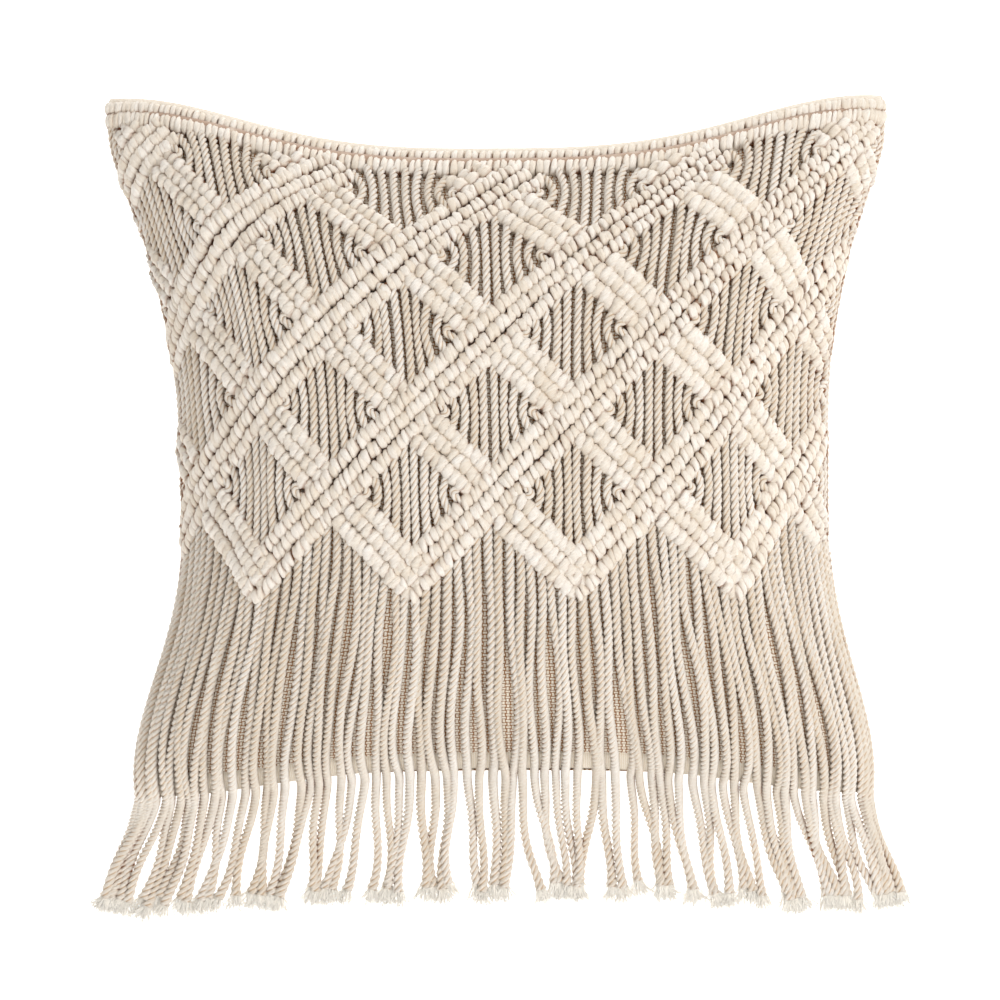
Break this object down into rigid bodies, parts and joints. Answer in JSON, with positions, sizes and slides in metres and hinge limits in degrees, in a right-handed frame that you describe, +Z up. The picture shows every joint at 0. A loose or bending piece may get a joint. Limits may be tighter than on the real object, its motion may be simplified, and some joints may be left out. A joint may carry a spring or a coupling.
{
  "type": "fringed macrame floor cushion",
  "caption": "Square crowned floor cushion with a knotted cotton cord front in a lozenge lattice, a long cord fringe, a plain woven back with a zip, and a filled inner pad.",
  "frame": {"origin": "middle of the flat patch of the back on which the cushion rests", "axes": "+Z up, out of the knotted front; +Y towards the header edge; the fringe points to -Y; +X to the right seen from above"},
  "size_m": [0.4861, 0.4902, 0.1435],
  "materials": {
    "cotton_cord": "three-ply twisted natural cotton cord",
    "base_cloth": "open plain-woven cotton and linen cloth",
    "calico": "fine plain-woven cotton",
    "fibre_fill": "loose polyester fibre",
    "zip_tape": "woven polyester tape",
    "zip_nylon": "nylon coil",
    "zip_metal": "dull nickel plate on zinc"
  },
  "bodies": {
    "cushion": {"insert_filling": "fibre_fill", "insert_case_front": "calico", "insert_case_back": "calico", "cover_front_cloth": "base_cloth", "cover_back_panel": "base_cloth", "cover_zip_facing": "base_cloth", "macrame_strands": "cotton_cord", "header_bar_1": "cotton_cord", "header_bar_2": "cotton_cord", "band_1": "cotton_cord", "band_2": "cotton_cord", "band_3": "cotton_cord", "band_4": "cotton_cord", "band_5": "cotton_cord", "band_6": "cotton_cord", "band_7": "cotton_cord", "bar_1_2": "cotton_cord", "bar_1_3": "cotton_cord", "bar_1_4": "cotton_cord", "bar_1_5": "cotton_cord", "bar_2_1": "cotton_cord", "bar_2_2": "cotton_cord", "bar_2_3": "cotton_cord", "bar_2_4": "cotton_cord", "bar_3_2": "cotton_cord", "bar_3_3": "cotton_cord", "bar_3_4": "cotton_cord", "bar_3_5": "cotton_cord", "bar_4_1": "cotton_cord", "bar_4_2": "cotton_cord", "bar_4_3": "cotton_cord", "bar_4_4": "cotton_cord", "bar_5_2": "cotton_cord", "bar_5_3": "cotton_cord", "bar_5_4": "cotton_cord", "bar_5_5": "cotton_cord", "bar_6_1": "cotton_cord", "bar_6_2": "cotton_cord", "bar_6_3": "cotton_cord", "bar_6_4": "cotton_cord", "fringe_lock_1": "cotton_cord", "fringe_lock_2": "cotton_cord", "fringe_lock_3": "cotton_cord", "fringe_lock_4": "cotton_cord", "fringe_lock_5": "cotton_cord", "fringe_lock_6": "cotton_cord", "fringe_lock_7": "cotton_cord", "fringe_lock_8": "cotton_cord", "fringe_lock_9": "cotton_cord", "fringe_lock_10": "cotton_cord", "zip_tape_upper": "zip_tape", "zip_coil_upper": "zip_nylon", "zip_tape_lower": "zip_tape", "zip_coil_lower": "zip_nylon", "zip_stop_left": "zip_metal", "zip_stop_right": "zip_metal"},
    "zip_slider": {"zip_slider": "zip_metal"},
    "zip_pull": {"zip_pull_tab": "zip_metal"}
  },
  "joints": [
    {"name": "zip_slide", "type": "slide", "parent": "cushion", "child": "zip_slider", "axis": [1, 0, 0], "range_m": [0, 0.28]},
    {"name": "pull_swing", "type": "hinge", "parent": "zip_slider", "child": "zip_pull", "pos_m": [-0.14, -0.18577, 0.02343], "axis": [-1, 0, 0], "range_deg": [-20, 40]}
  ]
}
